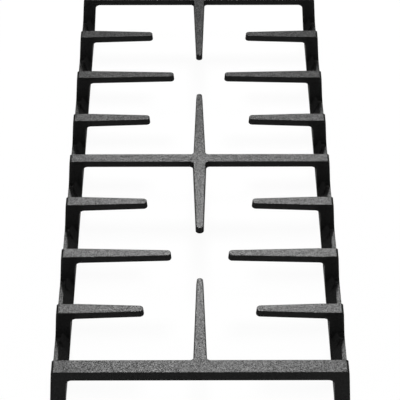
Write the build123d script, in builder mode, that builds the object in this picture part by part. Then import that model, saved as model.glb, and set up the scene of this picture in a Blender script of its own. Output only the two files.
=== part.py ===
"""Pan support for two burners of a gas hob.

One iron casting: three bars cross it from side to side, fingers reach in to each burner, and every bar and
finger stands on posts that run down into two low scalloped side rails. X runs across, Y from front to back.
"""

import os
from math import radians, tan

from build123d import *

# Overall sizes, in millimetres
bar_span = 232.6  # across the outer ends of the bars and fingers, at the pan level
pan_level = 50.0  # from the hob up to the flats that carry the pans
bar_pitch = 237.0  # from the middle bar to the bar at either end
burner_place = 116.1  # from the middle bar to the centre of either burner
finger_pitch = 61.5  # from a burner's long fingers to the short ones beside them

# Bars across the support; widths are those of the flats on top
front_bar_width = 12.7
front_bar_depth = 8.8
bar_width = 10.2  # of the middle and the rear bar
bar_depth = 5.8

# Fingers from the sides
finger_root_width = 10.4
finger_tip_width = 6.4
finger_root_depth = 6.2
finger_tip_depth = 5.9
short_finger_gap = 46.0  # from the centre line to the tip, at the pan level
long_finger_gap = 24.4  # the same for the fingers in line with a burner

# Fingers along the centre line
centre_root_width = 10.3
centre_tip_width = 4.9
broad_root_width = 11.3  # of the finger that points from the middle bar to the front burner
broad_tip_width = 6.0
centre_root_depth = 5.8
centre_tip_depth = 5.8
centre_finger_gap = 28.4  # from the centre of the burner to the tip, at the pan level

# Posts and side rails
post_thickness = 12.3  # across the rail, the same from top to foot
post_lean = 4.8  # degrees by which the posts spread towards the hob
rail_underside = 2.0  # the rails hang clear of the hob between the four corner feet
rail_top = 22.0
rail_crest_width = 3.8  # the flat along the top of a rail
rail_land = 2.0  # the upright strip below a rail's inner slope
scallop_radius = 5.0  # where a post runs out into the rail

# Leaning sides and rounded or bevelled edges
casting_draft = 5.0  # degrees by which the sides and tips of the bars and fingers lean out below
crook_round = 4.8  # under a bar or finger, where it turns down into its post
root_round = 3.0  # beside a centre finger, where it leaves its bar
tip_round = 3.0  # the two corners of a tip, seen from above
edge_bevel = 0.3  # along the flats
end_bevel = 1.5  # over the outer ends of the flats

half_span = bar_span / 2
spread = tan(radians(post_lean))
widening = tan(radians(casting_draft))
past = 10.0  # by which cutting shapes run past the casting


def outer_face(z):
    """Distance from the centre line to the outer face of the posts at height z."""
    return half_span + (pan_level - z) * spread


def inner_face(z):
    """Distance from the centre line to the inner face of the posts at height z."""
    return outer_face(z) - post_thickness


def half_post(width, depth):
    """Half the thickness of the post below a bar or finger of the given flat and depth."""
    return width / 2 + depth * widening


def tip_corner(tip_width):
    """Radius of the two corners of a tip at the pan level, always a little less than half its width."""
    return min(tip_round, 0.48 * tip_width)


def arch(place, tip, tip_width, root_width, tip_depth, root_depth, foot):
    """A bar or side finger with its post, square to the depth of the support.

    From above it narrows from the root to a rounded tip, and its sides lean out below. From the front it runs
    from the tip along the pan level, over its bevelled outer end and down to the foot. A bar has no tip: it
    runs past the centre line instead.
    """
    root_underside = pan_level - root_depth
    crook = (inner_face(root_underside), root_underside)
    rise = (root_depth - tip_depth) / (crook[0] - tip)
    inside = tip - past
    outside = outer_face(0) + past
    taper_start = inner_face(pan_level) - crook_round
    with BuildPart() as plate:
        with BuildSketch(Plane.XY.offset(root_underside)) as plan:
            with BuildLine():
                Polyline(
                    (tip, place - tip_width / 2),
                    (taper_start, place - root_width / 2),
                    (outside, place - root_width / 2),
                    (outside, place + root_width / 2),
                    (taper_start, place + root_width / 2),
                    (tip, place + tip_width / 2),
                    close=True,
                )
            make_face()
            offset(amount=root_depth * widening, kind=Kind.INTERSECTION)
            if tip > 0:
                fillet(plan.vertices().group_by(Axis.X)[0], tip_corner(tip_width) + root_depth * widening)
        extrude(amount=root_depth, taper=casting_draft)
        extrude(plan.sketch, amount=-root_underside)
        with BuildSketch(Plane.XZ.offset(-place)) as profile:
            with BuildLine():
                Polyline(
                    (inside, pan_level),
                    (half_span - end_bevel, pan_level),
                    (outer_face(pan_level - end_bevel), pan_level - end_bevel),
                    (outer_face(foot), foot),
                    (inner_face(foot), foot),
                    crook,
                    (inside, root_underside + rise * (crook[0] - inside)),
                    close=True,
                )
            make_face()
            fillet(profile.vertices().sort_by_distance(crook)[0], crook_round)
        extrude(amount=root_width, both=True, mode=Mode.INTERSECT)
    return plate.part


def bar(place, width, depth, foot):
    """Half of a bar across the support, with its post."""
    return arch(place, -past, width, width, depth, depth, foot)


def side_finger(place, tip):
    """A finger from one side, with its post."""
    widths = (finger_tip_width, finger_root_width)
    return arch(place, tip, *widths, finger_tip_depth, finger_root_depth, rail_underside)


def centre_finger(reach, root_width, tip_width):
    """A finger on the centre line that points backwards from a bar face at the origin to its rounded tip."""
    half_root = root_width / 2
    half_tip = tip_width / 2
    rise = (centre_root_depth - centre_tip_depth) / reach
    with BuildPart() as finger:
        with BuildSketch(Plane.XY.offset(pan_level - centre_root_depth)) as plan:
            with BuildLine():
                Polyline((-half_root, 0), (half_root, 0), (half_tip, reach), (-half_tip, reach), close=True)
            make_face()
            offset(amount=centre_root_depth * widening, kind=Kind.INTERSECTION)
            fillet(plan.vertices().group_by(Axis.Y)[-1], tip_corner(tip_width) + centre_root_depth * widening)
        extrude(amount=centre_root_depth, taper=casting_draft)
        with BuildSketch(Plane.YZ):
            with BuildLine():
                Polyline(
                    (0, pan_level),
                    (reach + past, pan_level),
                    (reach + past, pan_level - centre_root_depth + rise * (reach + past)),
                    (0, pan_level - centre_root_depth),
                    close=True,
                )
            make_face()
        extrude(amount=root_width, both=True, mode=Mode.INTERSECT)
    return finger.part


def side_wall(length):
    """The leaning wall that the rail of one side and the feet of its posts are cut from."""
    top = rail_top + scallop_radius
    with BuildPart() as wall:
        with BuildSketch(Plane.XZ):
            with BuildLine():
                Polyline(
                    (inner_face(top), top),
                    (outer_face(top), top),
                    (outer_face(rail_underside), rail_underside),
                    (inner_face(rail_underside), rail_underside),
                    close=True,
                )
            make_face()
        extrude(amount=-length)
    return wall.part


def gap_cut(start, end):
    """The space over a rail between the posts that face each other at start and end.

    Its section is open above the rail's flat and inside its slope, and its two ends are rounded into the posts.
    """
    crest = (outer_face(rail_top) - rail_crest_width, rail_top)
    slope_foot = (inner_face(rail_underside + rail_land), rail_underside + rail_land)
    slope = (crest[1] - slope_foot[1]) / (crest[0] - slope_foot[0])
    inside = inner_face(pan_level) - past
    outside = outer_face(0) + past
    above = pan_level + past
    slope_end = (inside, slope_foot[1] - (slope_foot[0] - inside) * slope)
    with BuildPart() as gap:
        with BuildSketch(Plane.XZ.offset(-start)):
            with BuildLine():
                Polyline((outside, above), (outside, rail_top), crest, slope_end, (inside, above), close=True)
            make_face()
        extrude(amount=start - end)
        ends = gap.faces().filter_by(Axis.Y).edges()
        floor_edges = ends.filter_by(lambda edge: edge.bounding_box().max.Z < rail_top + 0.1)
        fillet(floor_edges, min(scallop_radius, 0.45 * (end - start)))
    return gap.part


def quarter(end_width, end_depth, root_width, tip_width):
    """The quarter behind the middle bar, right of the centre line.

    Its end bar has the given section, and the centre finger on the middle bar the given flat.
    """
    middle_face = bar_width / 2
    end_face = bar_pitch - end_width / 2
    fingers = {
        burner_place - finger_pitch: short_finger_gap,
        burner_place: long_finger_gap,
        burner_place + finger_pitch: short_finger_gap,
    }
    end_half_post = half_post(end_width, end_depth)
    finger_half_post = half_post(finger_root_width, finger_root_depth)
    post_faces = [half_post(bar_width, bar_depth), bar_pitch - end_half_post]
    for place in fingers:
        post_faces += [place - finger_half_post, place + finger_half_post]
    post_faces.sort()
    with BuildPart() as casting:
        add(side_wall(bar_pitch + end_half_post))
        for start, end in zip(post_faces[0::2], post_faces[1::2]):
            add(gap_cut(start, end), mode=Mode.SUBTRACT)
        add(bar(0, bar_width, bar_depth, rail_underside))
        add(bar(bar_pitch, end_width, end_depth, 0))
        for place, tip in fingers.items():
            add(side_finger(place, tip))
        with Locations((0, middle_face, 0)):
            add(centre_finger(burner_place - centre_finger_gap - middle_face, root_width, tip_width))
        with Locations(Location((0, end_face, 0), (0, 0, 180))):
            add(centre_finger(end_face - burner_place - centre_finger_gap, centre_root_width, centre_tip_width))
        split(bisect_by=Plane.XZ, keep=Keep.BOTTOM)
        split(bisect_by=Plane.YZ, keep=Keep.TOP)

        # Corners where the centre fingers leave the bars
        half_depth = min(centre_root_depth, bar_depth) / 2
        lean_out = half_depth * widening
        roots = [
            (root_width / 2 + lean_out, middle_face + lean_out, pan_level - half_depth),
            (centre_root_width / 2 + lean_out, end_face - lean_out, pan_level - half_depth),
        ]
        fillet([casting.edges().sort_by_distance(root)[0] for root in roots], root_round)

        # Edges along the flats, but not the cuts between the quarters or the bevels over the outer ends
        rims = casting.faces().filter_by(Axis.Z).group_by(Axis.Z)[-1].edges()
        rims = rims.filter_by(lambda edge: min(edge.center().X, edge.center().Y) > 0.01)
        chamfer(rims.filter_by(lambda edge: edge.center().X < half_span - end_bevel - 0.01), edge_bevel)
    return casting.part


with BuildPart() as pan_support:
    add(quarter(bar_width, bar_depth, centre_root_width, centre_tip_width))
    mirror(quarter(front_bar_width, front_bar_depth, broad_root_width, broad_tip_width), about=Plane.XZ)
    mirror(about=Plane.YZ)

os.makedirs("parts", exist_ok=True)
pan_support.part.label = "pan_support"
export_step(pan_support.part, "parts/pan_support.step")
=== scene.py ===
from math import radians

import bpy
import numpy as np
from mathutils import Euler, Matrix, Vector


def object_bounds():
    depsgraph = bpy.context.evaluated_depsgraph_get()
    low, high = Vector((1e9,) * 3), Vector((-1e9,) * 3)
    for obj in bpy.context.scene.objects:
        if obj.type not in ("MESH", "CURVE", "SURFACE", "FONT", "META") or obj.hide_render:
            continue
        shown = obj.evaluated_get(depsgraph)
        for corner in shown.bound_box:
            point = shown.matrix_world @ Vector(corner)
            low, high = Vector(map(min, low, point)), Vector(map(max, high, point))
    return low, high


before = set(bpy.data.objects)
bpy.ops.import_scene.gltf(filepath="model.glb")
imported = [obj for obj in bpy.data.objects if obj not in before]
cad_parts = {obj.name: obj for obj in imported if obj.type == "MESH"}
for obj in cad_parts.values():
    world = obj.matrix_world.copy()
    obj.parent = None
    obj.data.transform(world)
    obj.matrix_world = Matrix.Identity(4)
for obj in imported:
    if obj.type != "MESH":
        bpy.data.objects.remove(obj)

cad_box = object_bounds()
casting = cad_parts["pan_support"]
pan_level = cad_box[1].z

# Studio lamps: degrees turned from straight behind the casting, degrees of elevation, width and height in
# metres, and watts. The flats mirror the key towards the camera, and the weak fills are for the other sides.
LAMP_AIM = (0.0, -0.15, pan_level)
LAMP_DISTANCE = 8.0
LAMPS = {
    "key": (1.0, 47.5, 2.3, 1.8, 770.0),
    "overhead": (0.0, 88.0, 1.6, 1.6, 60.0),
    "left_fill": (-90.0, 25.0, 1.6, 2.0, 60.0),
    "right_fill": (90.0, 25.0, 1.6, 2.0, 60.0),
    "front_left_fill": (-135.0, 25.0, 1.6, 2.0, 35.0),
    "front_right_fill": (135.0, 25.0, 1.6, 2.0, 35.0),
}

# Floor and surroundings. Here and below, a colour given as one number is a grey.
AMBIENT = 0.05
HORIZON_GLOW_TOP = 0.30  # sine of the elevation at which the white of the horizon ends
FLOOR_REACH = 6.0
FLOOR_GREY = 0.90
FLOOR_GLOW = 0.95  # share of plain white where the floor is seen directly or mirrored
WHITE = (1.0, 1.0, 1.0, 1.0)

# Enamel: grains of the sand-cast skin
GRAINS_PER_METRE = 1500.0
GRAIN_LEAN = 0.055
MEAN_GRAIN = 0.5  # the grains have random colours from 0 to 1
DARK_SIDE_GRAIN = 0.0150
PALE_SIDE_GRAIN = 0.0236
# The grains on the flats are paler than on the sides, so the tops are painted lighter: a painted light
DARK_GRAIN_ON_PAINTED_LIT_FLATS = 0.013
PALE_GRAIN_ON_PAINTED_LIT_FLATS = 0.077

# Enamel: flats, told from the sides by the upward part of the normal
FLAT_FROM = 0.72
FLAT_TO = 0.90

# Enamel: edge wear, and painted shade in the hollows, with sizes in metres
EDGE_SOFTNESS = 0.0008
EDGE_WEAR = 4.0
WORN_EDGE = (0.085, 0.081, 0.077, 1.0)
HOLLOW_REACH = 0.014
PAINTED_SHADE_STRENGTH = 1.7
PAINTED_SHADE_GREY = 0.004
SURFACE_SAMPLES = 8

# Enamel: gloss
SIDE_METALLIC = 0.28
FLAT_METALLIC = 0.092
LEAST_ROUGHNESS = 0.18
CLOUD_ROUGHNESS = 0.04
CLOUDS_PER_METRE = 55.0
CLOUD_DETAIL = 2.0
CLOUD_DETAIL_STRENGTH = 0.5
LOW_ANGLE_TINT = 0.5

# Camera, fitted to the outlines of the bars and fingers in the photograph. Its place is in metres, the pitch
# in degrees, the yaw in radians, and the lens and sensor are in millimetres.
CAMERA_PLACE = (-0.001799, -0.944267, 0.940797)
CAMERA_PITCH = 45.0
CAMERA_YAW = -0.002364
CAMERA_LENS = 130.260
SENSOR_WIDTH = 36.0


def grey(level):
    """A grey of the given level, as a colour."""
    return (level, level, level, 1.0)


class Wire:
    """An output socket of a node tree.

    Sums, differences and products of wires and numbers become Math nodes.
    """

    def __init__(self, socket):
        self.socket = socket
        self.tree = socket.id_data

    @staticmethod
    def node(tree, kind, settings=None, sockets=None, output=0):
        """Adds a node, gives it its settings, then fills or links its sockets.

        It gives back one output as a wire, or the node itself where that has no output.
        """
        made = tree.nodes.new(kind)
        for name, value in (settings or {}).items():
            setattr(made, name, value)
        for name, value in (sockets or {}).items():
            if isinstance(value, Wire):
                tree.links.new(value.socket, made.inputs[name])
            else:
                made.inputs[name].default_value = value
        return Wire(made.outputs[output]) if len(made.outputs) else made

    @staticmethod
    def mix(tree, share, first, second):
        """A Mix node on two colours, where a share of one gives the second.

        The node has sockets for each type of data: inputs 6 and 7 are its colours, and output 2 is the mix.
        """
        sockets = {"Factor": share, 6: first, 7: second}
        return Wire.node(tree, "ShaderNodeMix", {"data_type": "RGBA"}, sockets, output=2)

    def math(self, operation, first, second):
        """A Math node, or a Vector Math node on a vector or a colour.

        Beside a vector or a colour, a number stands for three equal ones.
        """
        kind = "ShaderNodeMath"
        if self.socket.type != "VALUE":
            kind = "ShaderNodeVectorMath"
            first, second = ((side,) * 3 if isinstance(side, float) else side for side in (first, second))
        return Wire.node(self.tree, kind, {"operation": operation}, {0: first, 1: second})

    def __add__(self, other):
        return self.math("ADD", self, other)

    def __radd__(self, other):
        return self.math("ADD", other, self)

    def __sub__(self, other):
        return self.math("SUBTRACT", self, other)

    def __rsub__(self, other):
        return self.math("SUBTRACT", other, self)

    def __mul__(self, other):
        return self.math("MULTIPLY", self, other)

    def __rmul__(self, other):
        return self.math("MULTIPLY", other, self)


def seen_directly(tree):
    """One for camera, glossy and transmission rays, and zero for the rays that carry light."""
    rays = ("Is Camera Ray", "Is Glossy Ray", "Is Transmission Ray")
    camera, glossy, transmission = (Wire.node(tree, "ShaderNodeLightPath", output=ray) for ray in rays)
    return camera + glossy + transmission


def empty_material(name):
    """A material with no nodes, and its tree."""
    material = bpy.data.materials.new(name)
    material.use_nodes = True
    material.node_tree.nodes.clear()
    return material, material.node_tree


def black_enamel():
    """Satin black enamel on a sand-cast skin.

    Each grain of the skin leans its own small way out of the surface, whose edges are softened, and is darker
    or paler than the next, most of all on the flats. The flats that face up are painted paler, a painted
    light on the tops. The enamel is paler where an edge has worn, and the hollows are painted darker by their
    ambient occlusion, a painted shade. Broad clouds change the gloss, and a low metallic share keeps it dull
    from the side.
    """
    material, tree = empty_material("black_enamel_on_casting")
    place = Wire.node(tree, "ShaderNodeTexCoord", output="Object")
    clouds = Wire.node(tree, "ShaderNodeTexNoise", sockets={
        "Vector": place, "Scale": CLOUDS_PER_METRE, "Detail": CLOUD_DETAIL,
        "Roughness": CLOUD_DETAIL_STRENGTH})

    # Grains on the softened surface
    grains = Wire.node(tree, "ShaderNodeTexVoronoi", sockets={
        "Vector": place, "Scale": GRAINS_PER_METRE}, output="Color")
    paleness = Wire.node(tree, "ShaderNodeSeparateColor", sockets={"Color": grains}, output="Blue")
    soft_surface = Wire.node(tree, "ShaderNodeBevel", {"samples": SURFACE_SAMPLES}, {
        "Radius": EDGE_SOFTNESS})
    skin = Wire.node(tree, "ShaderNodeVectorMath", {"operation": "NORMALIZE"}, {
        0: soft_surface + GRAIN_LEAN * (grains - MEAN_GRAIN)})

    # Where the flats, edges and hollows are
    facing = Wire.node(tree, "ShaderNodeTexCoord", output="Normal")
    upward = Wire.node(tree, "ShaderNodeSeparateXYZ", sockets={"Vector": facing}, output="Z")
    flat = Wire.node(tree, "ShaderNodeMapRange", {"interpolation_type": "SMOOTHSTEP"}, {
        "Value": upward, "From Min": FLAT_FROM, "From Max": FLAT_TO})
    surface = Wire.node(tree, "ShaderNodeNewGeometry", output="Normal")
    edge = 1.0 - Wire.node(tree, "ShaderNodeVectorMath", {"operation": "DOT_PRODUCT"}, {
        0: soft_surface, 1: surface}, output="Value")
    openness = Wire.node(tree, "ShaderNodeAmbientOcclusion", {"samples": SURFACE_SAMPLES}, {
        "Distance": HOLLOW_REACH}, output="AO")

    # Colour and gloss
    side_colour = Wire.mix(tree, paleness, grey(DARK_SIDE_GRAIN), grey(PALE_SIDE_GRAIN))
    # Painted light: the flats' grain colours are paler than the sides', so the up-facing tops are painted
    # lighter
    painted_lit_flat_colour = Wire.mix(tree, paleness, grey(DARK_GRAIN_ON_PAINTED_LIT_FLATS), grey(PALE_GRAIN_ON_PAINTED_LIT_FLATS))
    painted_top_colour = Wire.mix(tree, flat, side_colour, painted_lit_flat_colour)
    worn_painted_top_colour = Wire.mix(tree, EDGE_WEAR * edge * clouds, painted_top_colour, WORN_EDGE)
    # Painted shade: the hollows are darkened by their ambient occlusion
    colour = Wire.mix(tree, PAINTED_SHADE_STRENGTH * (1.0 - openness), worn_painted_top_colour, grey(PAINTED_SHADE_GREY))
    enamel = Wire.node(tree, "ShaderNodeBsdfPrincipled", sockets={
        "Base Color": colour, "Roughness": LEAST_ROUGHNESS + CLOUD_ROUGHNESS * clouds,
        "Metallic": SIDE_METALLIC + (FLAT_METALLIC - SIDE_METALLIC) * flat, "Specular IOR Level": 0.0,
        "Specular Tint": grey(LOW_ANGLE_TINT), "Normal": skin})
    Wire.node(tree, "ShaderNodeOutputMaterial", sockets={"Surface": enamel})
    return material


def pale_floor():
    """Matt white that shows a faint shadow, and plain white where it is seen directly or mirrored."""
    material, tree = empty_material("pale_floor")
    matt = Wire.node(tree, "ShaderNodeBsdfDiffuse", sockets={"Color": grey(FLOOR_GREY)})
    white = Wire.node(tree, "ShaderNodeEmission", sockets={"Color": WHITE, "Strength": 1.0})
    glow = FLOOR_GLOW * seen_directly(tree)
    shown = Wire.node(tree, "ShaderNodeMixShader", sockets={0: glow, 1: matt, 2: white})
    Wire.node(tree, "ShaderNodeOutputMaterial", sockets={"Surface": shown})
    return material


def floor_surface(reach, count):
    """A square grid in two parameters from -reach to reach, count points a side, level with the hob."""
    along = np.linspace(-reach, reach, count)
    x, y = np.meshgrid(along, along, indexing="ij")
    points = np.stack([x, y, np.zeros_like(x)], axis=-1).reshape(-1, 3)
    index = np.arange(count * count).reshape(count, count)
    corners = [index[:-1, :-1], index[1:, :-1], index[1:, 1:], index[:-1, 1:]]
    faces = np.stack(corners, axis=-1).reshape(-1, 4)
    mesh = bpy.data.meshes.new("floor")
    mesh.from_pydata(points.tolist(), [], faces.tolist())
    mesh.materials.append(pale_floor())
    floor = bpy.data.objects.new("floor", mesh)
    bpy.context.scene.collection.objects.link(floor)
    return floor


def studio_world():
    """Dim even light from all round.

    Where it is seen directly or mirrored, it is white at and below the horizon.
    """
    world = bpy.data.worlds.new("studio")
    bpy.context.scene.world = world
    world.use_nodes = True
    world.node_tree.nodes.clear()
    tree = world.node_tree
    direction = Wire.node(tree, "ShaderNodeTexCoord", output="Generated")
    height = Wire.node(tree, "ShaderNodeSeparateXYZ", sockets={"Vector": direction}, output="Z")
    horizon = Wire.node(tree, "ShaderNodeMapRange", {"interpolation_type": "SMOOTHSTEP"}, {
        "Value": height, "From Min": HORIZON_GLOW_TOP, "From Max": 0.0})
    strength = AMBIENT + (1.0 - AMBIENT) * horizon * seen_directly(tree)
    glow = Wire.node(tree, "ShaderNodeBackground", sockets={"Color": WHITE, "Strength": strength})
    Wire.node(tree, "ShaderNodeOutputWorld", sockets={"Surface": glow})


def studio_lamp(name, turn, elevation, width, height, power):
    """A soft lamp at a turn and elevation round the casting, facing it."""
    lamp = bpy.data.lights.new(name, "AREA")
    lamp.shape = "RECTANGLE"
    lamp.size = width
    lamp.size_y = height
    lamp.energy = power
    stand = bpy.data.objects.new(name, lamp)
    facing = Euler((radians(elevation - 90.0), 0.0, radians(-turn)))
    stand.location = Vector(LAMP_AIM) + facing.to_matrix() @ Vector((0.0, 0.0, LAMP_DISTANCE))
    stand.rotation_euler = facing
    bpy.context.scene.collection.objects.link(stand)


def photo_camera():
    """The camera at the photograph's viewing angle."""
    lens = bpy.data.cameras.new("camera")
    lens.lens = CAMERA_LENS
    lens.sensor_width = SENSOR_WIDTH
    camera = bpy.data.objects.new("camera", lens)
    camera.location = CAMERA_PLACE
    camera.rotation_euler = (radians(CAMERA_PITCH), 0.0, CAMERA_YAW)
    bpy.context.scene.collection.objects.link(camera)
    bpy.context.scene.camera = camera


bpy.context.scene.view_settings.view_transform = "Standard"
casting.material_slots[0].material = black_enamel()
floor_surface(FLOOR_REACH, 9)
studio_world()
for name, setting in LAMPS.items():
    studio_lamp(name, *setting)
photo_camera()
